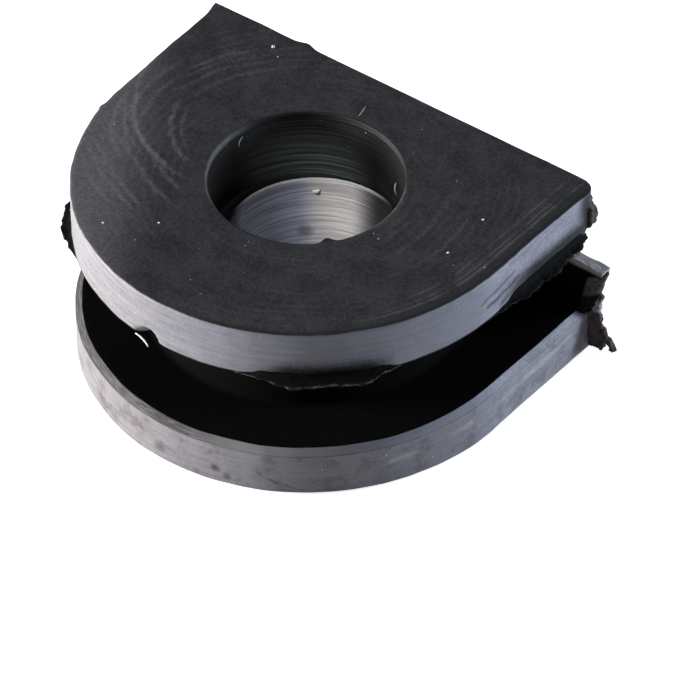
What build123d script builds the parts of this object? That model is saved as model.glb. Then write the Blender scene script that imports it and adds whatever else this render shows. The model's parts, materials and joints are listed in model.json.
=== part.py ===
from build123d import *
import math
import os

# Moulded rubber bushing, one solid, in millimetres.
# The outline is a D: a round front towards -Y, two nearly straight legs, and a flat face at +Y.
# Two flanges stand out from a web, so a U-shaped groove runs along one leg, round the front and
# back along the other leg, and is open at the flat face.
# Origin: on the axis of the round front, at the bottom face.  +Z goes up through the bore.

# Outline
flange_radius = 10.0
flat_face_y = 6.9
leg_splay_deg = 1.65
groove_depth = 3.0

# Heights
bottom_flange_height = 2.4
groove_height = 4.2
top_flange_height = 2.35

# Bore: two core pins that met below the top face, the lower one thinner and a little off axis
upper_bore_radius = 4.2
lower_bore_radius = 3.8
ledge_below_top = 3.4
lower_bore_shift = 0.35
lower_bore_shift_deg = 38.0

# Rounded edges
top_edge_radius = 0.12
bottom_flange_upper_edge_radius = 0.3
bottom_edge_radius = 0.12
bore_mouth_radius = 0.15

# Moulding flash, left where the mould plates met
rim_flash_thickness = 0.18
front_flash = [(-67, 0.0), (-63, 0.26), (-58, 0.52), (-56, 0.78), (-53, 0.66), (-47, 0.58), (-40, 0.76),
               (-36, 0.42), (-30, 0.0)]
left_flash = [(-149, 0.0), (-145, 0.4), (-137, 0.34), (-127, 0.0)]
leg_flash = [(-0.4, 0.0), (0.8, 0.2), (2.2, 0.3), (3.4, 0.48), (4.6, 0.34), (5.6, 0.4), (6.3, 0.0)]

# Skins at the right-hand end of the groove, each a distance out from the leg and a height
skin_thickness = 0.3
groove_skin_thickness = 0.45
groove_skin_height = 2.35
groove_skin_reach = 0.7
groove_skin_foot_reach = 0.4
top_corner_skin = [(0.0, -0.5), (0.1, -1.0), (0.2, -1.75), (0.0, -2.15)]
bottom_corner_skin = [(0.1, 0.8), (0.6, 0.85), (0.45, -0.25), (1.35, -1.9), (0.75, -1.5), (0.7, -2.15), (0.0, -2.2)]

# Derived values
leg_splay = math.radians(leg_splay_deg)
web_radius = flange_radius - groove_depth
groove_floor_z = bottom_flange_height
groove_roof_z = groove_floor_z + groove_height
top_z = groove_roof_z + top_flange_height
ledge_z = top_z - ledge_below_top
shift_direction = math.radians(lower_bore_shift_deg)
lower_bore_x = lower_bore_shift * math.cos(shift_direction)
lower_bore_y = lower_bore_shift * math.sin(shift_direction)
root_overlap = 0.6


def leg_x(radius, y):
    """Half width of the outline with this front radius, at height y along the leg."""
    return radius / math.cos(leg_splay) + y * math.tan(leg_splay)


def d_outline(radius):
    """D-shaped face: the legs leave the round front as tangents and end on the flat face."""
    tangent_x = radius * math.cos(leg_splay)
    tangent_y = -radius * math.sin(leg_splay)
    corner_x = leg_x(radius, flat_face_y)
    front = ThreePointArc((-tangent_x, tangent_y), (0, -radius), (tangent_x, tangent_y))
    right_leg = Line((tangent_x, tangent_y), (corner_x, flat_face_y))
    flat = Line((corner_x, flat_face_y), (-corner_x, flat_face_y))
    left_leg = Line((-corner_x, flat_face_y), (-tangent_x, tangent_y))
    return make_face([front, right_leg, flat, left_leg])


def raised(face, level, height):
    """A face in the XY plane, extruded up from a level."""
    return Pos(0, 0, level) * extrude(face, amount=height, dir=(0, 0, 1))


def upright(points, front_y, back_y):
    """A plate standing across the Y axis, from its outline as X and Z values."""
    face = make_face(Polyline(*[(x, front_y, z) for x, z in points], close=True))
    return extrude(face, amount=back_y - front_y, dir=(0, 1, 0))


def slab(radius, bottom, height):
    """The D outline with this front radius, extruded up from a level."""
    return raised(d_outline(radius), bottom, height)


def moulded_edges(solid, level):
    """The edges at one level that follow the front and the legs, without the flat face."""
    at_level = solid.edges().filter_by_position(Axis.Z, level - 0.001, level + 0.001)
    return [edge for edge in at_level if edge.center().Y < flat_face_y - 0.001]


def bottom_flange():
    flange = slab(flange_radius, 0, bottom_flange_height)
    flange = fillet(moulded_edges(flange, groove_floor_z), bottom_flange_upper_edge_radius)
    return fillet(moulded_edges(flange, 0), bottom_edge_radius)


def top_flange():
    flange = slab(flange_radius, groove_roof_z, top_flange_height)
    return fillet(moulded_edges(flange, top_z), top_edge_radius)


def stepped_bore():
    """Both halves of the bore, with a rounded mouth at each end."""
    upper = raised(Circle(upper_bore_radius), ledge_z, ledge_below_top)
    lower = raised(Pos(lower_bore_x, lower_bore_y, 0) * Circle(lower_bore_radius), 0, ledge_z)
    return upper + lower


def mouth_edge(solid, level, radius):
    """The circular edge of a bore's mouth."""
    circles = solid.edges().filter_by(GeomType.CIRCLE)
    at_level = circles.filter_by_position(Axis.Z, level - 0.001, level + 0.001)
    return [edge for edge in at_level if abs(edge.radius - radius) < 0.001]


def polar_point(angle_deg, radius):
    angle = math.radians(angle_deg)
    return (radius * math.cos(angle), radius * math.sin(angle))


def rim_flash(profile):
    """Thin ragged lip round the front, level with the underside of the top flange."""
    outer = [polar_point(angle, flange_radius + reach) for angle, reach in profile]
    inner_radius = flange_radius - root_overlap
    inner = [polar_point(angle, inner_radius) for angle, reach in reversed(profile)]
    lip = make_face(Polyline(*outer, *inner, close=True))
    return raised(lip, groove_roof_z, rim_flash_thickness)


def leg_lip(profile):
    """Thin ragged lip along the right leg, level with the underside of the top flange."""
    outer = [(leg_x(flange_radius, y) + reach, y) for y, reach in profile]
    inner = [(leg_x(flange_radius, y) - root_overlap, y) for y, reach in reversed(profile)]
    lip = make_face(Polyline(*outer, *inner, close=True))
    return raised(lip, groove_roof_z, rim_flash_thickness)


def corner_skin(profile, level, back_y):
    """Thin torn skin that stands out from the right-hand corner; its back is at back_y."""
    corner_x = leg_x(flange_radius, flat_face_y)
    outer = [(corner_x + reach, level + height) for reach, height in profile]
    root_x = corner_x - root_overlap
    root = [(root_x, outer[-1][1]), (root_x, outer[0][1])]
    return upright(outer + root, back_y - skin_thickness, back_y)


def groove_skin():
    """Skin across the lower part of the groove's end, flush with the flat face."""
    corner_x = leg_x(flange_radius, flat_face_y)
    root_x = leg_x(web_radius, flat_face_y) - root_overlap
    foot_z = groove_floor_z - root_overlap
    skin_top_z = groove_floor_z + groove_skin_height
    points = [
        (root_x, foot_z),
        (corner_x - root_overlap, foot_z),
        (corner_x + groove_skin_foot_reach, groove_floor_z),
        (corner_x + groove_skin_reach, skin_top_z),
        (root_x, skin_top_z),
    ]
    return upright(points, flat_face_y - groove_skin_thickness, flat_face_y)


def bushing():
    body = bottom_flange() + slab(web_radius, groove_floor_z, groove_height) + top_flange()
    body = body - stepped_bore()
    body = fillet(mouth_edge(body, top_z, upper_bore_radius), bore_mouth_radius)
    body = fillet(mouth_edge(body, 0, lower_bore_radius), bore_mouth_radius)
    body = body + rim_flash(front_flash) + rim_flash(left_flash) + leg_lip(leg_flash)
    body = body + groove_skin()
    body = body + corner_skin(top_corner_skin, top_z, flat_face_y)
    return body + corner_skin(bottom_corner_skin, groove_floor_z, flat_face_y - groove_skin_thickness)


os.makedirs("parts", exist_ok=True)
part = bushing()
print("solids", len(part.solids()), "volume", round(part.volume, 3), "box", part.bounding_box())
print("lower bore axis", round(lower_bore_x, 4), round(lower_bore_y, 4), "ledge", round(ledge_z, 4))
export_step(part, "parts/bushing.step")
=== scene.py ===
import json
import math
import random

import bmesh
import bpy
from mathutils import Matrix, Vector, noise

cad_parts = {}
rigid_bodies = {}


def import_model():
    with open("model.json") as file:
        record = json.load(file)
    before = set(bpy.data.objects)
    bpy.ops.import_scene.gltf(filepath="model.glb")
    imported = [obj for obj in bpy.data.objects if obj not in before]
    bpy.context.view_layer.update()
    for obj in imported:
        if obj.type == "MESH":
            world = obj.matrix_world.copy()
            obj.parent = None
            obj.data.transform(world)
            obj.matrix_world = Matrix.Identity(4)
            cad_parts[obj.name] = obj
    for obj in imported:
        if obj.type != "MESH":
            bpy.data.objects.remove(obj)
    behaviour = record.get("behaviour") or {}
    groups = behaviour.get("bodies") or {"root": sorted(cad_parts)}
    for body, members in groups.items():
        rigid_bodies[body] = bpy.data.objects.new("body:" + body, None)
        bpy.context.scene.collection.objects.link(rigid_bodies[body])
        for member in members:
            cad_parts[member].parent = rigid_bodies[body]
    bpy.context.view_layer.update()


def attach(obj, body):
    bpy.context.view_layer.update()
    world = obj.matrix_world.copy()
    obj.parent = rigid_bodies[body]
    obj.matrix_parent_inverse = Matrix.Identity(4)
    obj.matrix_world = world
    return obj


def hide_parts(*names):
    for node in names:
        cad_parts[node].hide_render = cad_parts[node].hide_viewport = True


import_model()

mm = 0.001
dice = random.Random(41)

# sizes of the moulding, in millimetres
bushing = {
    "radius": 10.0,            # round front
    "flatY": 6.9,              # flat side
    "legSplay": math.radians(1.65),
    "bottomFlange": 2.4,
    "groove": 4.2,
    "topFlange": 2.35,
    "grooveDepth": 3.0,
    "topEdge": 0.12,
    "lowerFlangeEdge": 0.3,
    "bottomEdge": 0.12,
    "upperBore": 4.2,
    "upperBoreDraft": 0.04,    # how much narrower it is at the ledge
    "lowerBore": 3.8,
    "ledgeDrop": 3.4,
    "boreShift": 0.35,
    "boreShiftAngle": math.radians(38.0),
    "mouthEdge": 0.15,
    "cornerWear": 0.75,        # how far the right top corner is worn back
}
grooveFloor = bushing["bottomFlange"]
grooveRoof = grooveFloor + bushing["groove"]
topZ = grooveRoof + bushing["topFlange"]
ledgeZ = topZ - bushing["ledgeDrop"]
webRadius = bushing["radius"] - bushing["grooveDepth"]
shiftAngle = bushing["boreShiftAngle"]
boreShift = Vector((math.cos(shiftAngle), math.sin(shiftAngle))) * bushing["boreShift"]
cornerX = bushing["radius"] / math.cos(bushing["legSplay"])
cornerX += bushing["flatY"] * math.tan(bushing["legSplay"])

# how finely the body is divided
mesh = {"leg": 40, "arc": 230, "flat": 80, "overhang": 10, "topRings": 32, "bottomRings": 8}


# angles in degrees, distances in millimetres; the aim lies level with the top face
view = {
    "azimuth": 38.116,
    "elevation": 40.745,
    "roll": -0.592,
    "distance": 250.0,
    "aim": (7.349, -7.280),
    "lens": 313.27,
}


def placeCamera():
    az = math.radians(view["azimuth"])
    el = math.radians(view["elevation"])
    towards = Vector((math.sin(az) * math.cos(el), -math.cos(az) * math.cos(el), math.sin(el)))
    place = Vector((0, 0, topZ)) + towards * view["distance"]
    look = Vector((*view["aim"], topZ)) - place
    turn = look.to_track_quat("-Z", "Y").to_matrix() @ Matrix.Rotation(math.radians(view["roll"]), 3, "Z")
    data = bpy.data.cameras.new("camera")
    data.lens = view["lens"]
    data.sensor_width = 36.0
    data.clip_start = 0.01
    data.clip_end = 10.0
    camera = bpy.data.objects.new("camera", data)
    camera.matrix_world = Matrix.Translation(place * mm) @ turn.to_4x4()
    bpy.context.scene.collection.objects.link(camera)
    bpy.context.scene.camera = camera


# right leg from its corner, round the front, left leg to its corner
def stations():
    splay = bushing["legSplay"]
    out = []
    for i in range(mesh["leg"]):
        out.append(("right", 1 - i / mesh["leg"]))
    out.insert(1, ("right", 0.996))
    for i in range(mesh["arc"] + 1):
        out.append(("front", -splay - (math.pi - 2 * splay) * i / mesh["arc"]))
    for i in range(1, mesh["leg"] + 1):
        out.append(("left", i / mesh["leg"]))
    out.insert(-1, ("left", 0.996))
    return out


def outlineXY(station, radius):
    kind, where = station
    splay = bushing["legSplay"]
    if kind == "front":
        return Vector((radius * math.cos(where), radius * math.sin(where)))
    tangent = Vector((radius * math.cos(splay), -radius * math.sin(splay)))
    corner = Vector((radius / math.cos(splay) + bushing["flatY"] * math.tan(splay), bushing["flatY"]))
    point = tangent.lerp(corner, where)
    return point if kind == "right" else Vector((-point.x, point.y))


def quarter(count):
    return [math.pi / 2 * i / count for i in range(count + 1)]


def rows(low, high, count):
    return [low + (high - low) * i / count for i in range(count + 1)]


# (radius, height) down the moulded side: top edge, rim, groove, lower rim, bottom edge
def wrapProfile():
    full = bushing["radius"]
    e = bushing["topEdge"]
    profile = [(full - e + e * math.sin(a), topZ - e + e * math.cos(a)) for a in quarter(4)]
    profile += [(full, z) for z in rows(topZ - e, grooveRoof, 24)[1:]]
    profile += [(r, grooveRoof) for r in rows(full, webRadius, mesh["overhang"])[1:]]
    profile += [(webRadius, z) for z in rows(grooveRoof, grooveFloor, 12)[1:]]
    e = bushing["lowerFlangeEdge"]
    profile += [(r, grooveFloor) for r in rows(webRadius, full - e - 0.03, mesh["overhang"])[1:]]
    profile += [(full - e, grooveFloor - 0.004)]
    profile += [(full - e + e * t, grooveFloor - e * t) for t in (0.07, 0.36, 0.64, 0.93)]
    profile += [(full, grooveFloor - e - 0.004)]
    e = bushing["bottomEdge"]
    profile += [(full, z) for z in rows(grooveFloor - bushing["lowerFlangeEdge"] - 0.03, e, 22)]
    profile += [(full - e + e * math.cos(a), e - e * math.sin(a)) for a in quarter(3)[1:]]
    return profile


# (radius, height, share of the sideways shift, kind) down the bore
def boreProfile():
    up = bushing["upperBore"]
    low = bushing["lowerBore"]
    e = bushing["mouthEdge"]
    draft = bushing["upperBoreDraft"]
    profile = [(up + e - e * math.sin(a), topZ - e + e * math.cos(a), 0, "lip" if a else None)
               for a in quarter(4)]
    profile += [(up - draft * (topZ - z) / bushing["ledgeDrop"], z, 0, "upperBore")
                for z in rows(topZ - e, ledgeZ, 26)[1:]]
    profile += [(up - 0.06, ledgeZ - 0.1, 0, "ledge"), (up - 0.13, ledgeZ - 0.12, 0.3, "ledge"),
                (low + 0.13, ledgeZ - 0.04, 1, "ledge"), (low + 0.09, ledgeZ + 0.02, 1, "ledgeLip"),
                (low + 0.03, ledgeZ + 0.02, 1, "ledgeLip"), (low, ledgeZ - 0.05, 1, "ledgeLip"),
                (low, ledgeZ - 0.09, 1, "lowerBore")]
    profile += [(low, z, 1, "lowerBore") for z in rows(ledgeZ - 0.09, e, 30)[1:]]
    profile += [(low + e - e * math.cos(a), e - e * math.sin(a), 1, "lowerBore") for a in quarter(3)[1:]]
    return profile


def bump(value, centre, width):
    return math.exp(-((value - centre) / width) ** 2)


def softNoise(x, y, z, scale):
    return noise.noise(Vector((x, y, z)) * scale)


# small faults of the moulding, in millimetres and degrees round the front
faults = {
    "edgeNub": {"angle": -171.0, "reach": 0.1, "width": 1.0},
    "flatNub": {"x": -5.3, "reach": 0.17, "width": 0.36},
    "rimNotch": {"angle": -94.0, "depth": 0.75, "width": 2.0, "height": 0.34},
    "cornerTip": {"reach": 0.15, "width": 0.5},
    "mouthBurr": {"angle": -40.0, "reach": 0.3, "width": 4.0},
}


# moves a point of the perfect moulding to where the real, slightly rough one has it
def worn(point):
    x, y, z = point
    r = math.hypot(x, y)
    outer = max(0.0, min(1.0, (r - 8.5) / 1.2))
    angle = math.degrees(math.atan2(y, x))
    # slight waviness everywhere on the outside
    wave = 0.05 * softNoise(x, y, z, 0.35) + 0.018 * softNoise(x + 9, y, z, 1.4)
    out = Vector((x, y, 0)) / max(r, 0.001)
    moved = Vector(point) + out * wave * outer
    moved.z += 0.03 * softNoise(x, y + 5, z, 0.3) * (1 if z > 1 else 0)
    # a ragged top edge
    if z > topZ - 0.2 and outer > 0:
        moved += out * 0.02 * softNoise(x, y, 3, 3.5) * outer
    nub = faults["edgeNub"]
    moved += out * nub["reach"] * bump(angle, nub["angle"], nub["width"]) * bump(z, topZ, 0.3) * outer
    nub = faults["flatNub"]
    if y > bushing["flatY"] - 0.4:
        moved.y += nub["reach"] * bump(x, nub["x"], nub["width"]) * bump(z, topZ, 0.3)
    notch = faults["rimNotch"]
    bite = bump(angle, notch["angle"], notch["width"]) * bump(z, grooveRoof, notch["height"]) * outer
    moved -= out * notch["depth"] * bite * (1 + 0.5 * softNoise(x, y, z, 3.0))
    tip = faults["cornerTip"]
    if z > grooveRoof:
        moved.x -= tip["reach"] * bump(math.hypot(x + cornerX, y - bushing["flatY"]), 0, tip["width"])
    burr = faults["mouthBurr"]
    if r < 5 and z > topZ - 0.4:
        moved -= out * burr["reach"] * bump(angle, burr["angle"], burr["width"]) * bump(r, 4.2, 0.25)
    # the right-hand top corner is worn round, more so towards its lower end
    wear = bushing["cornerWear"]
    if z > grooveRoof - 0.1:
        low = (topZ - z) / bushing["topFlange"]
        size = wear * (1 + 0.9 * max(0, low - 0.75) / 0.25)
        past = Vector((x - (cornerX - size), y - (bushing["flatY"] - size)))
        if past.x > 0 and past.y > 0 and past.length > size:
            pull = (past.length - size) / past.length
            moved.x -= past.x * pull
            moved.y -= past.y * pull
    return moved


def buildBody():
    bm = bmesh.new()
    marks = {name: bm.verts.layers.float.new(name) for name in ("rim", "land", "groove", "upperBore", "ledge",
                                                           "ledgeLip", "lowerBore", "lip")}
    along = bm.verts.layers.float.new("along")   # mm round the outline or the bore

    def vertex(point, kind, distance=0.0):
        v = bm.verts.new(worn(point) * mm)
        if kind:
            v[marks[kind]] = 1
        v[along] = distance
        return v

    def skin(grid):
        for lower, upper in zip(grid, grid[1:]):
            for i in range(len(lower) - 1):
                bm.faces.new((lower[i], lower[i + 1], upper[i + 1], upper[i]))

    path = stations()
    profile = wrapProfile()

    def kindOf(r, z):
        if not 0.02 < z < topZ - 0.02:
            return None
        if z > grooveRoof + 0.02 or z < grooveFloor - bushing["lowerFlangeEdge"] + 0.01:
            return "rim"
        onChamfer = r > bushing["radius"] - bushing["lowerFlangeEdge"] + 0.01
        return "land" if onChamfer and z < grooveFloor - 0.01 else "groove"

    travel = [0.0]
    for a, b in zip(path, path[1:]):
        step = outlineXY(b, bushing["radius"]) - outlineXY(a, bushing["radius"])
        travel.append(travel[-1] + step.length)
    wrap = []
    for r, z in profile:
        kinds = [None] + [kindOf(r, z)] * (len(path) - 2) + [None]
        wrap.append([vertex((*outlineXY(s, r), z), k, d) for s, k, d in zip(path, kinds, travel)])
    skin(wrap)

    # flat side, in rows that meet the ends of the wrap
    cuts = rows(bushing["radius"], webRadius, mesh["overhang"])
    splay = bushing["legSplay"]
    endX = [c / math.cos(splay) + bushing["flatY"] * math.tan(splay) for c in cuts]
    inner = rows(endX[-1], -endX[-1], mesh["flat"])
    flatX = endX[:-1] + inner + [-x for x in reversed(endX[:-1])]
    flatRows = []
    for j, (r, z) in enumerate(profile):
        onGroove = webRadius < r < bushing["radius"] - 0.35 and 0.1 < z < topZ - 0.1
        if onGroove:
            continue
        if r <= webRadius:
            xs = inner
        else:
            edge = outlineXY(path[0], r).x
            xs = [min(max(x, -edge), edge) for x in flatX]
        row = [vertex((x, bushing["flatY"], z), None) for x in xs]
        flatRows.append((r <= webRadius, row, z))
    for (narrow, a, za), (narrowB, b, zb) in zip(flatRows, flatRows[1:]):
        skip = mesh["overhang"]
        if narrow == narrowB:
            skin([b, a])
        elif narrow:
            skin([b[skip:-skip], a])
        else:
            skin([b, a[skip:-skip]])

    # top and bottom faces and the bore, as rings
    def closedRing(radius, z):
        edge = outlineXY(path[0], radius).x
        wrapPart = [(*outlineXY(s, radius), z) for s in path]
        flatPart = [(min(max(-x, -edge), edge), bushing["flatY"], z) for x in flatX[1:-1]]
        return wrapPart + flatPart

    bore = boreProfile()

    def boreRing(r, z, share, angles):
        c = boreShift * share
        return [(c.x + r * math.cos(a), c.y + r * math.sin(a), z) for a in angles]

    topEdgeRing = closedRing(bushing["radius"] - bushing["topEdge"], topZ)
    angles = [math.atan2(p[1], p[0]) for p in topEdgeRing]
    bottomEdgeRing = closedRing(bushing["radius"] - bushing["bottomEdge"], 0)

    def ringFaces(ringsOfPoints, kinds):
        made = []
        for ring, kind in zip(ringsOfPoints, kinds):
            reach = bushing["upperBore"] if kind else 0
            made.append([vertex(p, kind, a * reach) for p, a in zip(ring, angles)])
        for a, b in zip(made, made[1:]):
            n = len(a)
            for i in range(n):
                bm.faces.new((b[i], b[(i + 1) % n], a[(i + 1) % n], a[i]))

    def between(a, b, count):
        return [[tuple(Vector(p).lerp(Vector(q), t)) for p, q in zip(a, b)] for t in rows(0, 1, count)]

    boreRings = [boreRing(*row[:3], angles) for row in bore]
    topFace = between(topEdgeRing, boreRings[0], mesh["topRings"])
    bottomFace = between(boreRings[-1], bottomEdgeRing, mesh["bottomRings"])
    ringFaces(topFace, [None] * len(topFace))
    ringFaces(boreRings, [row[3] for row in bore])
    ringFaces(bottomFace, [None] * len(bottomFace))

    bmesh.ops.remove_doubles(bm, verts=bm.verts, dist=0.0005 * mm)
    bmesh.ops.dissolve_degenerate(bm, edges=bm.edges, dist=0.0005 * mm)
    bmesh.ops.recalc_face_normals(bm, faces=bm.faces)
    loose = sum(1 for e in bm.edges if len(e.link_faces) != 2)
    data = bpy.data.meshes.new("bushing_body")
    bm.to_mesh(data)
    bm.free()
    data.shade_smooth()
    body = bpy.data.objects.new("bushing_body", data)
    bpy.context.scene.collection.objects.link(body)
    print("body:", len(data.polygons), "faces,", loose, "edges not shared by two faces")
    return body


# ragged lips of flash under the top flange: reach in mm, by degrees round the front or mm along the leg
flash = {
    "front_flash": {
        "side": "front", "rise": 0.26, "rag": 0.10, "edge": 1.0,
        "reach": [(-70, 0), (-66, 0.1), (-63, 0.26), (-58, 0.52), (-56, 0.8), (-53, 0.68), (-50, 0.6),
                  (-47, 0.6), (-42, 0.72), (-39, 0.78), (-36, 0.42), (-33, 0.2), (-29, 0)],
    },
    "left_flash": {
        "side": "front", "rise": 0.16, "rag": 0.07, "edge": 0.4,
        "reach": [(-152, 0), (-147, 0.34), (-143, 0.42), (-138, 0.42), (-134, 0.22), (-127, 0)],
    },
    "leg_flash": {
        "side": "right", "rise": 0.42, "rag": 0.16, "edge": 0.15,
        "reach": [(-0.3, 0), (0.8, 0.14), (1.6, 0.3), (2.6, 0.46), (3.6, 0.5), (4.6, 0.4), (5.5, 0.36),
                  (6.2, 0.1)],
    },
}

# cross-section of a flash lip: share of its reach, share of its rise, drop in mm
flashSection = [
    (-0.5, 0.9, 0.0), (0.0, 1.0, 0.0), (0.12, 0.62, 0.0), (0.3, 0.34, 0.0), (0.55, 0.2, 0.0), (0.8, 0.13, 0.0),
    (0.95, 0.09, 0.0), (1.0, 0.03, 0.0), (0.97, 0.0, 0.03), (0.75, 0.0, 0.06), (0.4, 0.0, 0.05), (-0.5, 0.0, 0.02),
]


def smoothBetween(pairs, where):
    for (a, va), (b, vb) in zip(pairs, pairs[1:]):
        if a <= where <= b:
            t = (where - a) / (b - a)
            return va + (vb - va) * t * t * (3 - 2 * t)
    return 0.0


def newPiece(name, bm, material):
    bmesh.ops.recalc_face_normals(bm, faces=bm.faces)
    data = bpy.data.meshes.new(name)
    bm.to_mesh(data)
    bm.free()
    data.shade_smooth()
    data.materials.append(material)
    piece = bpy.data.objects.new(name, data)
    bpy.context.scene.collection.objects.link(piece)
    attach(piece, "root")
    return piece


def flashLip(name, lip, material):
    bm = bmesh.new()
    torn = bm.verts.layers.float.new("torn")
    first, last = lip["reach"][0][0], lip["reach"][-1][0]
    count = 150
    strips = []
    for i in range(count + 1):
        where = first + (last - first) * i / count
        station = ("front", math.radians(where)) if lip["side"] == "front" else ("right", where / bushing["flatY"])
        reach = smoothBetween(lip["reach"], where)
        size = min(1.0, reach / 0.25)
        spot = outlineXY(station, bushing["radius"])
        rag = softNoise(spot.x, spot.y, 1, 2.6) + 0.6 * softNoise(spot.x, spot.y, 7, 7.0)
        ragged = reach + lip["rag"] * rag * size
        strip = []
        for share, rise, drop in flashSection:
            out = bushing["radius"] + (ragged * share if share >= 0 else share)
            wobble = softNoise(spot.x + share, spot.y, 4, 3.0) * 0.07 * size * (share > 0.1)
            z = grooveRoof + 0.02 + lip["rise"] * rise * size - drop + wobble
            v = bm.verts.new(Vector((*outlineXY(station, out), z)) * mm)
            v[torn] = lip["edge"] if 0.9 < share else 0
            strip.append(v)
        strips.append(strip)
    for a, b in zip(strips, strips[1:]):
        for k in range(len(flashSection)):
            n = (k + 1) % len(flashSection)
            bm.faces.new((a[k], a[n], b[n], b[k]))
    bm.faces.new(strips[0])
    bm.faces.new(strips[-1][::-1])
    return newPiece(name, bm, material)


# skins at the right-hand corner: outlines as (x, z) from the corner and the groove's floor
plates = {
    "top_corner_skin": {"y": 6.3, "thick": 0.45, "pale": (0, 0), "brown": (6.5, 8.6),
                        "outline": [(-0.7, 6.3), (-0.3, 6.2), (-0.12, 5.9), (0.06, 5.6), (0.13, 5.2), (0.15, 4.85),
                                    (0.0, 4.62), (-0.22, 4.45), (-0.7, 4.4)]},
    "bottom_corner_skin": {"y": 6.5, "thick": 0.22, "pale": (2.2, 3.1), "brown": (-1.0, 4.0),
                           "outline": [(-0.4, -0.1), (0.06, 0.1), (0.3, 0.62), (0.42, 0.95), (0.68, 0.92),
                                       (0.55, 0.4), (0.5, -0.1), (0.62, -0.75), (0.95, -1.3), (1.36, -1.92),
                                       (1.26, -2.02), (0.98, -1.75), (0.8, -1.52), (0.78, -2.0), (0.6, -2.22),
                                       (0.38, -2.1), (0.2, -2.26), (-0.1, -2.2), (-0.4, -2.24)]},
}

# curved skins: rows of points from the flat side forwards, in mm
skins = {
    "groove_end_skin": {"thick": 0.6, "pale": (4.5, 6.0), "brown": (0, 0), "rows": [
        [(7.0, 6.66, 2.2), (8.2, 6.66, 2.2), (9.4, 6.66, 2.2), (10.35, 6.66, 2.3)],
        [(7.0, 6.66, 3.4), (8.2, 6.66, 3.4), (9.4, 6.66, 3.4), (10.55, 6.62, 3.5)],
        [(7.0, 6.66, 4.7), (8.2, 6.66, 4.76), (9.5, 6.64, 4.84), (11.0, 6.6, 4.78)]]},
    "groove_curl": {"thick": 0.14, "pale": (0, 0), "brown": (3.3, 6.0), "rows": [
        [(10.35, 6.7, 2.2), (10.2, 6.4, 2.2), (10.0, 6.1, 2.2), (9.75, 5.95, 2.2)],
        [(10.62, 6.7, 3.3), (10.55, 6.42, 3.25), (10.35, 6.2, 3.2), (10.1, 6.05, 3.1)],
        [(11.05, 6.7, 4.7), (11.0, 6.5, 4.62), (10.7, 6.3, 4.5), (10.25, 6.2, 4.36)]]},
}


# marks the pale and the brown parts of a torn piece by height
def tint(bm, piece):
    for name in ("pale", "brown"):
        layer = bm.verts.layers.float.new(name)
        low, high = piece[name]
        for v in bm.verts:
            z = v.co.z / mm
            v[layer] = max(0.0, min(1.0, 4 * (z - low), 4 * (high - z)))


def roughen(bm, size, amount):
    bm.normal_update()
    for v in bm.verts:
        p = v.co / mm
        v.co += v.normal * (amount * softNoise(p.x, p.y, p.z, size)) * mm


def tornPlate(name, plate, material):
    bm = bmesh.new()
    torn = bm.verts.layers.float.new("torn")
    corner = [(cornerX + x, plate["y"], grooveFloor + z) for x, z in plate["outline"]]
    front = [bm.verts.new(Vector(p) * mm) for p in corner]
    face = bm.faces.new(front)
    for v in front:
        v[torn] = 0.6
    grown = bmesh.ops.extrude_face_region(bm, geom=[face])["geom"]
    moved = [g for g in grown if isinstance(g, bmesh.types.BMVert)]
    bmesh.ops.translate(bm, verts=moved, vec=Vector((0, plate["thick"], 0)) * mm)
    bmesh.ops.triangulate(bm, faces=bm.faces)
    for _ in range(3):
        bmesh.ops.subdivide_edges(bm, edges=bm.edges, cuts=1, use_grid_fill=True, smooth=0.1)
    bmesh.ops.smooth_vert(bm, verts=bm.verts, factor=0.5, use_axis_x=True, use_axis_y=True, use_axis_z=True)
    roughen(bm, 4.0, 0.10)
    roughen(bm, 11.0, 0.04)
    tint(bm, plate)
    return newPiece(name, bm, material)


def curvedSkin(name, skin, material):
    bm = bmesh.new()
    bm.verts.layers.float.new("torn")
    grid = [[bm.verts.new(Vector(p) * mm) for p in row] for row in skin["rows"]]
    for a, b in zip(grid, grid[1:]):
        for i in range(len(a) - 1):
            bm.faces.new((a[i], a[i + 1], b[i + 1], b[i]))
    piece = newPiece(name, bm, material)
    solid = piece.modifiers.new("thickness", "SOLIDIFY")
    solid.thickness = skin["thick"] * mm
    solid.offset = 0
    crisp = piece.modifiers.new("rounded", "BEVEL")
    crisp.width = 0.05 * mm
    crisp.segments = 2
    smooth = piece.modifiers.new("smooth", "SUBSURF")
    smooth.levels = 4
    smooth.render_levels = 4
    finished = bpy.data.meshes.new_from_object(piece.evaluated_get(bpy.context.evaluated_depsgraph_get()))
    piece.modifiers.clear()
    piece.data = finished
    bm = bmesh.new()
    bm.from_mesh(finished)
    roughen(bm, 1.6, 0.06)
    roughen(bm, 7.0, 0.015)
    tint(bm, skin)
    bm.to_mesh(finished)
    bm.free()
    finished.shade_smooth()
    return piece


# single fibres and flecks, in mm
lint = {
    "notchFibre": {"from": (-1.28, -10.02, 6.62), "to": (-0.42, -10.25, 6.5), "thick": 0.045},
    "boreFibre": {"from": (2.02, 3.62, 7.15), "to": (2.16, 3.5, 6.6), "thick": 0.04},
    "mouthScratch": {"from": (-0.62, 4.44, 8.95), "to": (-0.78, 5.2, 8.95), "thick": 0.009},
    "boreScratch": {"from": (-4.08, 0.86, 8.5), "to": (-4.1, 0.6, 8.12), "thick": 0.03},
    "ledgeFleck": {"from": (-1.84, 3.28, 5.0), "to": (-2.1, 3.1, 4.93), "thick": 0.085},
}

# how many small specks on each part and their sizes; the placed ones are x, y and size on the top face
specks = {
    "top": 34, "rim": 46, "bore": 60,
    "small": 0.010, "large": 0.030,
    "placed": [(-6.39, 5.97, 0.09), (7.62, 2.24, 0.07), (7.69, -0.31, 0.06), (-5.01, -7.44, 0.055),
               (-3.13, -6.04, 0.06)],
}


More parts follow.
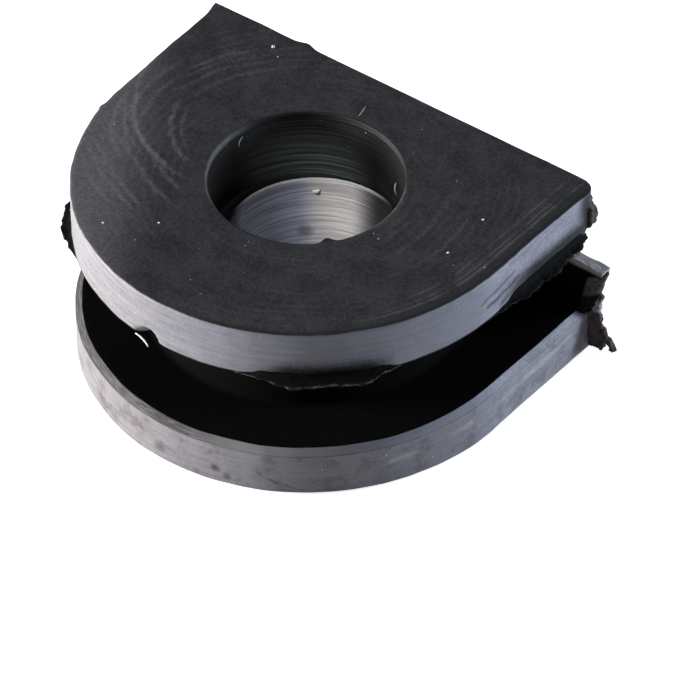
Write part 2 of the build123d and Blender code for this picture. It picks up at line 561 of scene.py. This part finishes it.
def lintPiece(material):
    bm = bmesh.new()
    for fibre in lint.values():
        start, end = Vector(fibre["from"]), Vector(fibre["to"])
        side = (end - start).orthogonal().normalized()
        other = side.cross(end - start).normalized()
        loops = []
        for i in range(9):
            t = i / 8
            middle = start.lerp(end, t) + side * 0.06 * math.sin(t * math.pi)
            thick = fibre["thick"] * (0.6 + 0.4 * math.sin(t * math.pi))
            loops.append([bm.verts.new((middle + (side * math.cos(a) + other * math.sin(a)) * thick) * mm)
                          for a in [math.tau * k / 6 for k in range(6)]])
        for a, b in zip(loops, loops[1:]):
            for k in range(6):
                bm.faces.new((a[k], a[(k + 1) % 6], b[(k + 1) % 6], b[k]))
        bm.faces.new(loops[0][::-1])
        bm.faces.new(loops[-1])

    def speck(place, size):
        made = bmesh.ops.create_icosphere(bm, subdivisions=1, radius=size * mm)["verts"]
        for v in made:
            v.co *= dice.uniform(0.7, 1.2)
            v.co += Vector(place) * mm

    def anySize():
        return dice.uniform(specks["small"], specks["large"])

    for x, y, size in specks["placed"]:
        speck((x, y, topZ), size)
    for _ in range(specks["top"]):
        a = dice.uniform(-math.pi, math.pi)
        r = dice.uniform(4.6, 9.6)
        if r * math.sin(a) < bushing["flatY"] - 0.2:
            speck((r * math.cos(a), r * math.sin(a), topZ), anySize())
    for _ in range(specks["rim"]):
        a = math.radians(dice.uniform(-178, -2))
        z = dice.choice([dice.uniform(0.3, 2.0), dice.uniform(grooveRoof + 0.3, topZ - 0.2)])
        speck((bushing["radius"] * math.cos(a), bushing["radius"] * math.sin(a), z), anySize())
    for _ in range(specks["bore"]):
        a = dice.uniform(-math.pi, math.pi)
        z = dice.uniform(ledgeZ + 0.2, topZ - 0.3)
        speck((bushing["upperBore"] * math.cos(a), bushing["upperBore"] * math.sin(a), z), anySize())
    return newPiece("dust_and_lint", bm, material)


# colours of the rubber, its wear and its dirt, and painted light and shade: the groove, the bores, the ledge, the
# chamfer's left side, the rim's cool tint, the line by the top edge and the top face's left sheen
rubber = {
    "face": (0.0095, 0.010, 0.011, 1),
    "faceLight": (0.032, 0.033, 0.037, 1),
    # tool marks, and also the painted sheen on the left of the top face
    "swirlAndSheen": (0.12, 0.12, 0.13, 1),
    "rim": (0.125, 0.123, 0.13, 1),
    "rimLight": (0.225, 0.222, 0.233, 1),
    "rimSpeck": (0.30, 0.295, 0.31, 1),
    "rimPatch": (0.27, 0.27, 0.29, 1),
    # painted tint of the cool right-hand light
    "rimCoolLight": (0.135, 0.148, 0.195, 1),
    "rimWarm": (0.15, 0.132, 0.130, 1),
    "blotch": (0.075, 0.068, 0.064, 1),
    "land": (0.17, 0.168, 0.175, 1),
    # painted shade on the left of the chamfer
    "landShadedLeft": (0.016, 0.0158, 0.0165, 1),
    # painted shade in the groove, also used for painted shade in the notch and by the burr
    "groove": (0.0025, 0.0024, 0.0024, 1),
    # painted shade along the top edge
    "edgeShade": (0.010, 0.010, 0.012, 1),
    # painted shade inside the upper bore, and its rings painted lighter where light falls
    "upperBore": (0.0035, 0.0037, 0.0035, 1),
    "upperBoreLitRing": (0.15, 0.165, 0.165, 1),
    # painted light and shade for the lower bore
    "lowerBore": (0.22, 0.235, 0.31, 1),
    "lowerBoreLitRing": (0.46, 0.48, 0.60, 1),
    "stainDark": (0.03, 0.03, 0.032, 1),
    "stainPale": (0.6, 0.56, 0.56, 1),
    # painted shade in the ledge's crease, and a painted highlight on its lip
    "ledge": (0.006, 0.006, 0.006, 1),
    "ledgeLip": (0.45, 0.45, 0.47, 1),
    "lip": (0.065, 0.060, 0.056, 1),
    "torn": (0.0016, 0.0015, 0.0014, 1),
    "tornEdge": (0.10, 0.088, 0.082, 1),
    "tornBrown": (0.085, 0.066, 0.070, 1),
    "tornPale": (0.36, 0.35, 0.355, 1),
    "lint": (0.80, 0.78, 0.72, 1),
    "lintShade": (0.3, 0.29, 0.27, 1),
    "litWall": (0.42, 0.40, 0.39, 1),
    "litWallRing": (0.78, 0.74, 0.72, 1),
    "boreShadeRight": (0.03, 0.025, 0.022, 1),
    "boreShadeLeft": (0.03, 0.03, 0.035, 1),
}
dullness = {"face": 0.62, "walls": 0.42, "groove": 0.95}
shine = {"rubber": 0.22, "groove": 0.02}

# tool marks on the top face: centre x and y, radius, middle angle and half spread in degrees, width, strength
swirls = [
    (-3.77, 3.21, 6.33, -132, 44, 0.13, 1.0),
    (-3.7, 3.1, 6.75, -138, 30, 0.10, 0.5),
    (-4.2, 1.16, 5.62, -142, 27, 0.14, 0.85),
    (-4.1, 1.2, 5.2, -146, 24, 0.10, 0.45),
    (-3.35, 1.78, 4.16, -136, 36, 0.12, 0.7),
    (-3.3, 1.7, 3.7, -140, 26, 0.10, 0.4),
    (0.43, -0.3, 9.29, 152, 12, 0.10, 0.5),
    (0.3, -0.2, 8.75, 150, 18, 0.09, 0.4),
    (0.2, -0.2, 8.2, 154, 22, 0.10, 0.35),
    (0.2, -0.1, 7.5, 150, 26, 0.10, 0.3),
    (2.51, 13.58, 20.79, -117, 9, 0.12, 0.8),
    (2.4, 13.2, 20.0, -117, 10, 0.12, 0.7),
    (-1.95, 3.71, 10.57, -118, 10, 0.10, 0.7),
    (2.6, 13.4, 19.2, -117, 10, 0.12, 0.65),
    (2.6, 13.4, 18.4, -118, 10, 0.12, 0.5),
    (-1.0, 1.5, 8.1, -172, 20, 0.12, 0.5),
    (-1.2, 1.3, 7.2, -168, 22, 0.12, 0.45),
    (0.0, 0.0, 6.2, 4, 30, 0.10, 0.22),
    (0.0, 0.0, 7.3, -2, 34, 0.10, 0.2),
    (0.0, 0.0, 5.4, -80, 40, 0.10, 0.15),
]


# stains, and painted shade in the rim notch and beside the mouth burr: place in mm, radius, colour, strength
stainsAndShade = [
    (-2.39, 2.92, 2.6, 0.5, "stainDark", 0.55),
    (-1.52, 3.56, 2.45, 0.55, "stainPale", 0.8),
    (-4.2, -9.07, 0.85, 0.5, "blotch", 0.55),
    (-4.0, -9.2, 1.5, 0.45, "blotch", 0.5),
    (-3.1, -9.5, 0.45, 0.45, "blotch", 0.5),
    (-0.2, -10.0, 0.7, 0.4, "stainDark", 0.6),
    (2.5, -9.7, 0.8, 0.28, "stainDark", 0.9),
    (3.0, -9.54, 0.45, 0.25, "stainDark", 0.7),
    # painted shade beside the burr on the bore mouth
    (3.02, -2.54, 8.95, 0.4, "groove", 1.0),
    # painted shade in the notch under the top flange
    (-0.78, -9.97, 6.82, 0.42, "groove", 1.0),
    (-1.3, -9.92, 6.68, 0.25, "groove", 0.9),
]


# scratches: both ends in mm, half width, colour, strength
scratches = [
    ((4.29, -9.03, 1.07), (5.0, -8.66, 0.55), 0.06, "stainDark", 0.75),
    ((5.0, -8.66, 0.55), (5.9, -8.07, 0.22), 0.05, "stainDark", 0.6),
    ((10.0, -0.6, 7.35), (10.05, 1.5, 7.65), 0.10, "stainDark", 0.8),
    ((9.95, -1.0, 7.75), (10.05, 1.2, 8.1), 0.07, "stainDark", 0.65),
    ((10.0, 0.2, 7.0), (10.08, 2.0, 7.3), 0.09, "stainDark", 0.7),
    ((-4.9, -8.72, 1.75), (-4.0, -9.17, 1.45), 0.05, "stainDark", 0.6),
    ((-5.3, -8.48, 1.35), (-4.4, -8.98, 1.1), 0.05, "stainDark", 0.5),
    ((-4.6, -8.88, 0.9), (-3.4, -9.4, 0.62), 0.05, "stainDark", 0.5),
    ((-1.6, -9.87, 1.2), (0.6, -9.98, 0.85), 0.045, "stainDark", 0.35),
    ((-4.43, -6.77, 8.95), (-1.93, -8.06, 8.95), 0.09, "stainDark", 0.6),
    ((9.9, 0.6, 1.35), (10.1, 5.2, 1.6), 0.16, "stainPale", 0.16),
    ((8.5, -5.3, 1.25), (9.85, -1.6, 1.4), 0.14, "stainPale", 0.14),
]


def nodeMaker(material):
    material.use_nodes = True
    tree = material.node_tree
    tree.nodes.clear()

    def add(kind, inputs=None, **settings):
        node = tree.nodes.new(kind)
        for key, value in settings.items():
            setattr(node, key, value)
        for key, value in (inputs or {}).items():
            socket = node.inputs[key]
            if isinstance(value, bpy.types.NodeSocket):
                tree.links.new(value, socket)
            else:
                socket.default_value = value
        return node

    return add


# short helpers that return output sockets
def shaderTools(material):
    add = nodeMaker(material)

    def sums(operation, a, b=0.0, c=0.0, clamp=False):
        return add("ShaderNodeMath", {0: a, 1: b, 2: c}, operation=operation, use_clamp=clamp).outputs[0]

    def mix(fac, a, b):
        return add("ShaderNodeMix", {0: fac, 6: a, 7: b}, data_type="RGBA").outputs[2]

    def ramp(value, low, high, toLow=0.0, toHigh=1.0):
        inputs = {"Value": value, "From Min": low, "From Max": high, "To Min": toLow, "To Max": toHigh}
        return add("ShaderNodeMapRange", inputs, interpolation_type="SMOOTHSTEP").outputs[0]

    def cloud(vector, scale, detail=4.0, roughness=0.55):
        inputs = {"Vector": vector, "Scale": scale, "Detail": detail, "Roughness": roughness}
        return add("ShaderNodeTexNoise", inputs).outputs["Fac"]

    def mark(name):
        return add("ShaderNodeAttribute", attribute_name=name).outputs["Fac"]

    def vector(x, y, z):
        return add("ShaderNodeCombineXYZ", {0: x, 1: y, 2: z}).outputs[0]

    return add, sums, mix, ramp, cloud, mark, vector


def grey(value):
    return (value, value, value, 1)


def rubberMaterial():
    material = bpy.data.materials.new("black_rubber_skin")
    add, sums, mix, ramp, cloud, mark, vector = shaderTools(material)
    coords = add("ShaderNodeTexCoord").outputs["Object"]
    place = add("ShaderNodeVectorMath", {0: coords, "Scale": 1 / mm}, operation="SCALE").outputs[0]
    x, y, z = add("ShaderNodeSeparateXYZ", {0: place}).outputs
    along = mark("along")
    streakPlace = vector(sums("MULTIPLY", along, 0.35), sums("MULTIPLY", z, 5.0), 0.0)
    streaks = cloud(streakPlace, 1.0, 6.0, 0.65)
    fineStreaks = cloud(vector(sums("MULTIPLY", along, 1.2), sums("MULTIPLY", z, 16.0), 3.0), 1.0, 4.0)
    mottled = cloud(place, 1.1, 8.0, 0.65)
    grain = cloud(place, 7.0, 8.0, 0.75)
    fine = cloud(place, 22.0, 4.0, 0.7)

    trembling = add("ShaderNodeTexNoise", {"Vector": place, "Scale": 1.6, "Detail": 4.0}).outputs["Color"]
    inputs = {0: trembling, 1: (0.5, 0.5, 0.5)}
    tremble = add("ShaderNodeVectorMath", inputs, operation="SUBTRACT").outputs["Vector"]
    tremble = add("ShaderNodeVectorMath", {0: tremble, "Scale": 0.35}, operation="SCALE").outputs["Vector"]

    # arcs left by the tool on the top face
    drift = cloud(place, 0.45, 2.0)
    arcs = None
    for cx, cy, radius, middle, spread, width, strength in swirls:
        dx = sums("SUBTRACT", x, cx)
        dy = sums("SUBTRACT", y, cy)
        far = sums("SQRT", sums("ADD", sums("MULTIPLY", dx, dx), sums("MULTIPLY", dy, dy)))
        wander = sums("MULTIPLY_ADD", drift, 0.5, sums("SUBTRACT", far, radius + 0.25))
        line = ramp(sums("ABSOLUTE", wander), width * 1.7, 0.0)
        turn = math.radians(middle)
        bearing = sums("ADD", sums("MULTIPLY", dx, math.cos(turn)), sums("MULTIPLY", dy, math.sin(turn)))
        outside = math.cos(math.radians(spread))
        inside = math.cos(math.radians(spread * 0.45))
        inArc = ramp(sums("DIVIDE", bearing, far), outside, inside)
        arc = sums("MULTIPLY", sums("MULTIPLY", line, inArc), strength)
        arcs = arc if arcs is None else sums("ADD", arcs, arc)
    fromAxis = sums("SQRT", sums("ADD", sums("MULTIPLY", x, x), sums("MULTIPLY", y, y)))

    # 1 where a point lies in the given direction from the axis, 0 well away from it
    def facing(degrees, wide, narrow):
        turn = math.radians(degrees)
        aim = sums("ADD", sums("MULTIPLY", x, math.cos(turn)), sums("MULTIPLY", y, math.sin(turn)))
        return ramp(sums("DIVIDE", aim, fromAxis), math.cos(math.radians(wide)), math.cos(math.radians(narrow)))

    ringWave = sums("SINE", sums("MULTIPLY", sums("MULTIPLY_ADD", mottled, 0.6, fromAxis), 15.0))
    ringPatch = ramp(cloud(place, 0.28, 2.0), 0.45, 0.62)
    rings = sums("MULTIPLY", sums("MULTIPLY", ringWave, ringPatch), 0.12)
    worked = sums("ADD", sums("MULTIPLY", arcs, ramp(grain, 0.3, 0.65, 0.15, 1.0)), rings)
    # painted sheen: the top face is lightened towards the far left, where the left lamp grazes it
    leftGlow = ramp(sums("MULTIPLY_ADD", y, 0.62, x), -6.9, -10.6)

    patches = cloud(place, 0.8, 5.0, 0.6)
    flecked = sums("MULTIPLY", ramp(grain, 0.42, 0.6), 0.75)
    facePatch = sums("MULTIPLY_ADD", ramp(patches, 0.35, 0.65), 0.45, flecked, clamp=True)
    face = mix(facePatch, rubber["face"], rubber["faceLight"])
    face = mix(sums("MULTIPLY", leftGlow, ramp(grain, 0.3, 0.7, 0.35, 0.8)), face, rubber["swirlAndSheen"])
    face = mix(sums("MULTIPLY", worked, 0.75, clamp=True), face, rubber["swirlAndSheen"])
    # distance in from the outline, used for the painted shade line by the edge
    ahead = sums("MINIMUM", y, 0.0)
    behind = sums("MAXIMUM", y, 0.0)
    across = sums("SQRT", sums("ADD", sums("MULTIPLY", x, x), sums("MULTIPLY", ahead, ahead)))
    outline = sums("MULTIPLY_ADD", behind, math.tan(bushing["legSplay"]), bushing["radius"])
    inset = sums("SUBTRACT", outline, across)
    onTop = ramp(z, topZ - 0.2, topZ - 0.08)
    rightward = sums("MULTIPLY", ramp(x, 0.5, 3.0), onTop)
    onLeg = sums("MULTIPLY", ramp(x, 6.5, 8.8), onTop)
    wavering = sums("MULTIPLY_ADD", mottled, 0.16, sums("SUBTRACT", inset, 0.08))
    edgeShadeLine = sums("MULTIPLY", ramp(sums("ABSOLUTE", sums("SUBTRACT", wavering, 0.15)), 0.14, 0.05), rightward)
    legBand = sums("MULTIPLY", ramp(sums("ABSOLUTE", sums("SUBTRACT", wavering, 0.36)), 0.2, 0.08), onLeg)
    edging = sums("MAXIMUM", edgeShadeLine, sums("MULTIPLY", legBand, 0.5))
    # painted shade: a dark line just inside the top edge where it rounds over, and a fainter band on the leg
    face = mix(sums("MULTIPLY", edging, 0.9), face, rubber["edgeShade"])
    for depth, strength in ((0.62, 0.5), (0.85, 0.35), (1.2, 0.4)):
        line = sums("MULTIPLY", ramp(sums("ABSOLUTE", sums("SUBTRACT", wavering, depth)), 0.07, 0.02), onLeg)
        line = sums("MULTIPLY", line, ramp(patches, 0.4, 0.6, 0.15, 0.8))
        face = mix(sums("MULTIPLY", line, strength), face, rubber["swirlAndSheen"])

    rim = mix(ramp(streaks, 0.3, 0.7), rubber["rim"], rubber["rimLight"])
    rim = mix(ramp(fineStreaks, 0.62, 0.8, 0.0, 0.35), rim, rubber["blotch"])
    rim = mix(sums("MULTIPLY", ramp(grain, 0.42, 0.7), 0.35), rim, rubber["rimSpeck"])
    rim = mix(sums("MULTIPLY", ramp(grain, 0.5, 0.3), 0.3), rim, rubber["blotch"])
    onFlank = sums("MULTIPLY", ramp(x, 6.0, 9.0), ramp(y, -1.3, 0.7))
    shadeBeforeFlank = sums("MULTIPLY", ramp(x, 3.5, 6.5), ramp(y, 0.0, -1.8))
    patchPlace = vector(sums("MULTIPLY", along, 0.5), sums("MULTIPLY", z, 1.6), 5.0)
    patchy = ramp(cloud(patchPlace, 1.0, 5.0), 0.4, 0.62)
    rim = mix(sums("MULTIPLY", onFlank, patchy), rim, rubber["rimPatch"])
    rim = mix(sums("MULTIPLY", onFlank, ramp(grain, 0.56, 0.4, 0.0, 0.55)), rim, rubber["blotch"])
    # painted shade: an even darker band on the rim before the right flank, between the lit left side and the right
    # lamp's reach
    rim = mix(sums("MULTIPLY", shadeBeforeFlank, 0.55), rim, rubber["blotch"])
    # painted light: the rim turns bluish towards the right, the tint of the cool right-hand lamp
    rim = mix(sums("MULTIPLY", ramp(x, -3.0, 4.0), 0.45), rim, rubber["rimCoolLight"])
    lowRim = ramp(z, 2.3, 1.9)
    dirt = sums("MULTIPLY", ramp(cloud(place, 0.9, 9.0, 0.7), 0.5, 0.62), lowRim)
    rim = mix(sums("MULTIPLY", lowRim, 0.3), rim, rubber["rimWarm"])
    rim = mix(sums("MULTIPLY", dirt, 0.6), rim, rubber["blotch"])
    # painted shade on the rim just above the flash, and a darker end at the worn corner
    rough = sums("MULTIPLY_ADD", grain, 0.7, sums("SUBTRACT", z, grooveRoof + 0.35))
    byFlap = sums("MULTIPLY", ramp(rough, 1.05, 0.3), facing(-47, 17, 9))
    byLeg = sums("MULTIPLY", ramp(rough, 1.5, 0.7), ramp(y, -0.4, 2.6))
    atCorner = ramp(sums("ADD", grain, y), 5.9, 6.6)
    shade = sums("MAXIMUM", byFlap, sums("MULTIPLY", sums("MAXIMUM", byLeg, atCorner), ramp(x, 5.0, 8.0)))
    upperRim = ramp(z, grooveRoof - 0.3, grooveRoof - 0.1)
    rim = mix(sums("MULTIPLY", sums("MULTIPLY", shade, upperRim), 0.95), rim, rubber["torn"])

    # turned rings in the bore; the upper bore is painted almost black as shade, and its rings are painted lighter
    # on the far wall and deeper down, as painted light
    boreRings = cloud(vector(sums("MULTIPLY", along, 0.14), sums("MULTIPLY", z, 7.5), 9.0), 1.0, 6.0, 0.65)
    clear = sums("MULTIPLY", facing(130, 48, 6), ramp(z, topZ + 0.1, ledgeZ + 0.5, 0.2, 1.0))
    ringed = sums("MULTIPLY", ramp(boreRings, 0.3, 0.72), clear)
    upper = mix(ringed, rubber["upperBore"], rubber["upperBoreLitRing"])
    # painted light: the lower bore is painted pale and bluish as if lit from below, brightest in a band on the far
    # wall, with painted shade to its left and right
    lower = mix(ramp(boreRings, 0.4, 0.62), rubber["lowerBore"], rubber["lowerBoreLitRing"])
    litWall = mix(ramp(boreRings, 0.4, 0.62), rubber["litWall"], rubber["litWallRing"])
    lower = mix(facing(106, 30, 4), lower, litWall)
    lower = mix(facing(64, 36, 10), lower, rubber["boreShadeRight"])
    lower = mix(facing(205, 26, 10), lower, rubber["boreShadeLeft"])

    colour = mix(mark("rim"), face, rim)
    # painted shade: the chamfer is painted dark on the left, fading lighter towards the right
    land = mix(ramp(x, 0.0, 4.8), rubber["landShadedLeft"], rubber["land"])
    land = mix(ramp(fineStreaks, 0.4, 0.7, 0.0, 0.4), land, rubber["land"])
    land = mix(ramp(x, 5.5, 9.0), land, rim)
    colour = mix(mark("land"), colour, land)
    # painted shade: the groove is painted nearly black for the deep shade under the top flange
    colour = mix(mark("groove"), colour, rubber["groove"])
    colour = mix(mark("upperBore"), colour, upper)
    colour = mix(mark("lowerBore"), colour, lower)
    lipSides = sums("MAXIMUM", facing(206, 50, 20), facing(4, 30, 12))
    lip = sums("MULTIPLY", lipSides, ramp(grain, 0.35, 0.6, 0.3, 1.0))
    lip = mix(lip, rubber["upperBore"], rubber["lip"])
    # at the burr the lip takes the upper bore's painted shade
    colour = mix(mark("lip"), colour, mix(facing(-40, 5.5, 3.5), lip, rubber["upperBore"]))
    # painted shade in the crease under the ledge, and a painted highlight on its lip on the far side
    colour = mix(mark("ledge"), colour, rubber["ledge"])
    ledgeLip = mix(facing(128, 66, 30), rubber["ledge"], rubber["ledgeLip"])
    colour = mix(mark("ledgeLip"), colour, ledgeLip)

    for sx, sy, sz, size, name, strength in stainsAndShade:
        gap = add("ShaderNodeVectorMath", {0: place, 1: (sx, sy, sz)}, operation="DISTANCE").outputs["Value"]
        edge = sums("MULTIPLY_ADD", mottled, size, sums("SUBTRACT", gap, size * 0.5))
        colour = mix(sums("MULTIPLY", ramp(edge, size * 1.1, size * 0.1), strength), colour, rubber[name])

    shaken = add("ShaderNodeVectorMath", {0: place, 1: tremble}).outputs["Vector"]
    for start, end, width, name, strength in scratches:
        run = Vector(end) - Vector(start)
        fromStart = add("ShaderNodeVectorMath", {0: shaken, 1: start}, operation="SUBTRACT").outputs["Vector"]
        inputs = {0: fromStart, 1: run / run.length_squared}
        share = add("ShaderNodeVectorMath", inputs, operation="DOT_PRODUCT").outputs["Value"]
        share = sums("MINIMUM", sums("MAXIMUM", share, 0.0), 1.0)
        reached = add("ShaderNodeVectorMath", {0: run, "Scale": share}, operation="SCALE").outputs["Vector"]
        gap = add("ShaderNodeVectorMath", {0: fromStart, 1: reached}, operation="DISTANCE").outputs["Value"]
        colour = mix(sums("MULTIPLY", ramp(gap, width * 1.6, width * 0.4), strength), colour, rubber[name])

    height = sums("MULTIPLY_ADD", grain, 0.6, sums("MULTIPLY", fine, 0.25))
    height = sums("ADD", height, sums("MULTIPLY", worked, 0.5))
    sideWalls = sums("ADD", mark("rim"), sums("ADD", mark("upperBore"), mark("lowerBore")), clamp=True)
    height = sums("ADD", height, sums("MULTIPLY", sideWalls, sums("MULTIPLY", boreRings, 2.2)))
    bumps = add("ShaderNodeBump", {"Height": height, "Strength": 0.55, "Distance": 0.05 * mm}).outputs[0]
    dull = mix(sideWalls, grey(dullness["face"]), grey(dullness["walls"]))
    dull = mix(mark("groove"), dull, grey(dullness["groove"]))
    gloss = ramp(mark("groove"), 0.0, 1.0, shine["rubber"], shine["groove"])
    inputs = {"Base Color": colour, "Roughness": dull, "Normal": bumps, "Specular IOR Level": gloss}
    shader = add("ShaderNodeBsdfPrincipled", inputs)
    add("ShaderNodeOutputMaterial", {"Surface": shader.outputs[0]})
    return material


def tornMaterial():
    material = bpy.data.materials.new("torn_rubber")
    add, sums, mix, ramp, cloud, mark, vector = shaderTools(material)
    coords = add("ShaderNodeTexCoord").outputs["Object"]
    place = add("ShaderNodeVectorMath", {0: coords, "Scale": 1 / mm}, operation="SCALE").outputs[0]
    rough = cloud(place, 4.0, 8.0, 0.7)
    crumbs = cloud(place, 14.0, 6.0, 0.7)
    colour = mix(sums("MULTIPLY", mark("torn"), ramp(rough, 0.4, 0.65)), rubber["torn"], rubber["tornEdge"])
    colour = mix(ramp(crumbs, 0.6, 0.78, 0.0, 0.05), colour, rubber["tornEdge"])
    colour = mix(sums("MULTIPLY", mark("brown"), ramp(rough, 0.3, 0.7, 0.3, 1.0)), colour, rubber["tornBrown"])
    colour = mix(sums("MULTIPLY", mark("pale"), ramp(rough, 0.2, 0.6, 0.5, 1.0)), colour, rubber["tornPale"])
    bumps = add("ShaderNodeBump", {"Height": crumbs, "Strength": 0.6, "Distance": 0.08 * mm}).outputs[0]
    inputs = {"Base Color": colour, "Roughness": 0.8, "Normal": bumps, "Specular IOR Level": 0.06}
    shader = add("ShaderNodeBsdfPrincipled", inputs)
    add("ShaderNodeOutputMaterial", {"Surface": shader.outputs[0]})
    return material


def lintMaterial():
    material = bpy.data.materials.new("pale_lint")
    add, sums, mix, ramp, cloud, mark, vector = shaderTools(material)
    coords = add("ShaderNodeTexCoord").outputs["Object"]
    place = add("ShaderNodeVectorMath", {0: coords, "Scale": 1 / mm}, operation="SCALE").outputs[0]
    colour = mix(cloud(place, 1.5, 3.0), rubber["lintShade"], rubber["lint"])
    shader = add("ShaderNodeBsdfPrincipled", {"Base Color": colour, "Roughness": 0.8})
    add("ShaderNodeOutputMaterial", {"Surface": shader.outputs[0]})
    return material


# glow of the floor and the sky: what they add to the light, and what the camera sees
studio = {"floorLight": 0.17, "floorSeen": 0.7, "skyLight": 0.15, "skySeen": 1.0}
lamps = {
    "left": {"from": (-205, -143, 40), "size": 110, "power": 2.5, "colour": (1, 0.96, 0.965)},
    "over": {"from": (20, 30, 260), "size": 200, "power": 0.12, "colour": (1, 1, 1)},
    "right": {"from": (175, 178, 40), "size": 90, "power": 1.15, "colour": (0.74, 0.84, 1)},
}
beam = {
    "aim": (-0.75, 3.95, 3.6), "azimuth": -80.0, "elevation": 53.0, "distance": 260.0,
    "power": 3.7, "angle": 1.2, "size": 2,
}


def floorAndLight():
    scene = bpy.context.scene
    scene.view_settings.view_transform = "Standard"
    bm = bmesh.new()
    bmesh.ops.create_grid(bm, x_segments=2, y_segments=2, size=1.5)
    data = bpy.data.meshes.new("floor")
    bm.to_mesh(data)
    bm.free()
    floor = bpy.data.objects.new("floor", data)
    scene.collection.objects.link(floor)
    material = bpy.data.materials.new("pale_floor")
    add = nodeMaker(material)
    seen = add("ShaderNodeLightPath").outputs["Is Camera Ray"]
    inputs = {"Value": seen, "To Min": studio["floorLight"], "To Max": studio["floorSeen"]}
    strength = add("ShaderNodeMapRange", inputs).outputs[0]
    paper = add("ShaderNodeBsdfDiffuse", {"Color": (0.8, 0.8, 0.8, 1)}).outputs[0]
    glow = add("ShaderNodeEmission", {"Strength": strength}).outputs[0]
    both = add("ShaderNodeAddShader", {0: paper, 1: glow}).outputs[0]
    add("ShaderNodeOutputMaterial", {"Surface": both})
    data.materials.append(material)

    world = bpy.data.worlds.new("studio")
    scene.world = world
    add = nodeMaker(world)
    seen = add("ShaderNodeLightPath").outputs["Is Camera Ray"]
    inputs = {"Value": seen, "To Min": studio["skyLight"], "To Max": studio["skySeen"]}
    strength = add("ShaderNodeMapRange", inputs).outputs[0]
    sky = add("ShaderNodeBackground", {"Strength": strength}).outputs[0]
    add("ShaderNodeOutputWorld", {"Surface": sky})

    for name, lamp in lamps.items():
        data = bpy.data.lights.new(name, "AREA")
        data.shape = "DISK"
        data.size = lamp["size"] * mm
        data.energy = lamp["power"]
        data.color = lamp["colour"]
        light = bpy.data.objects.new(name, data)
        spot = Vector(lamp["from"]) * mm
        light.matrix_world = Matrix.Translation(spot) @ (-spot).to_track_quat("-Z", "Y").to_matrix().to_4x4()
        scene.collection.objects.link(light)

    # a narrow beam into the bore
    az = math.radians(beam["azimuth"])
    el = math.radians(beam["elevation"])
    towards = Vector((math.cos(az) * math.cos(el), math.sin(az) * math.cos(el), math.sin(el)))
    data = bpy.data.lights.new("bore_beam", "SPOT")
    data.energy = beam["power"]
    data.spot_size = math.radians(beam["angle"])
    data.spot_blend = 1.0
    data.shadow_soft_size = beam["size"] * mm
    light = bpy.data.objects.new("bore_beam", data)
    spot = (Vector(beam["aim"]) + towards * beam["distance"]) * mm
    light.matrix_world = Matrix.Translation(spot) @ (-towards).to_track_quat("-Z", "Y").to_matrix().to_4x4()
    scene.collection.objects.link(light)


placeCamera()
print("camera placed")
floorAndLight()
print("floor and lamps placed")
body = buildBody()
body.data.materials.append(rubberMaterial())
print("rubber finished")
tornRubber = tornMaterial()
for name, lip in flash.items():
    flashLip(name, lip, tornRubber)
for name, plate in plates.items():
    tornPlate(name, plate, tornRubber)
for name, skin in skins.items():
    curvedSkin(name, skin, tornRubber)
print("flash and torn skins made")
lintPiece(lintMaterial())
print("dust and lint made")
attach(body, "root")
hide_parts("bushing")
